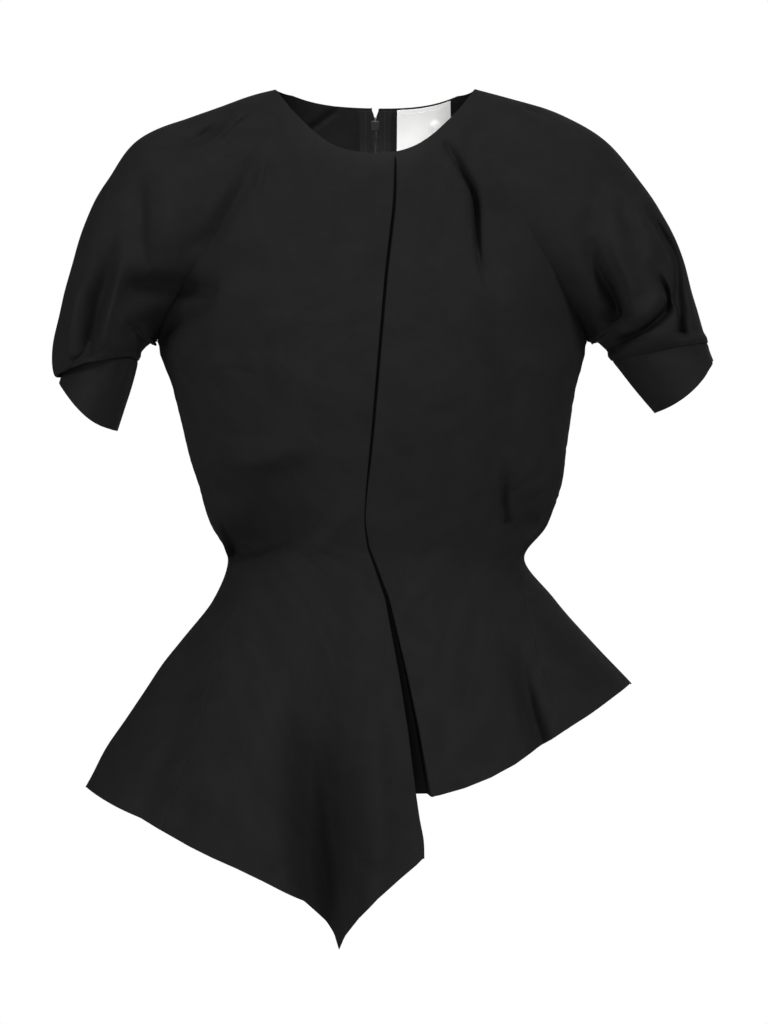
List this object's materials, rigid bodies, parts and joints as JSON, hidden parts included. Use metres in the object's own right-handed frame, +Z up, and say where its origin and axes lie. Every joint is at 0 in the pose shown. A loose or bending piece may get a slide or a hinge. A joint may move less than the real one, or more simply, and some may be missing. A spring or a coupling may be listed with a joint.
{
  "type": "blouse",
  "caption": "Woven short-sleeved blouse with raglan sleeves, fitted cuffs, a nipped waist and a flared peplum with a pointed overlapping front, zipped up the back.",
  "frame": {"origin": "centre of the neck base, midway between the two shoulder points of the neckline, where the wearer's shoulders hold the blouse", "axes": "+Z up towards the wearer's head, -Y towards the front, +X towards the wearer's left"},
  "size_m": [0.5911, 0.3259, 0.7576],
  "materials": {
    "linen": "matte plain weave, near black",
    "zip_tape": "matte woven tape, near black",
    "label": "smooth woven label, white, blank",
    "zip_metal": "satin black enamel"
  },
  "bodies": {
    "blouse": {"front_right": "linen", "front_left": "linen", "back_right": "linen", "back_left": "linen", "sleeve_right": "linen", "sleeve_left": "linen", "cuff_right": "linen", "cuff_left": "linen", "zip_tape_right": "zip_tape", "zip_tape_left": "zip_tape", "neck_label": "label", "zip_slider": "zip_metal"},
    "zip_pull": {"zip_pull": "zip_metal"}
  },
  "joints": [
    {"name": "pull_swing", "type": "hinge", "parent": "blouse", "child": "zip_pull", "pos_m": [0, 0.07085, -0.01511], "axis": [1, 0, 0], "range_deg": [0, 150]}
  ]
}
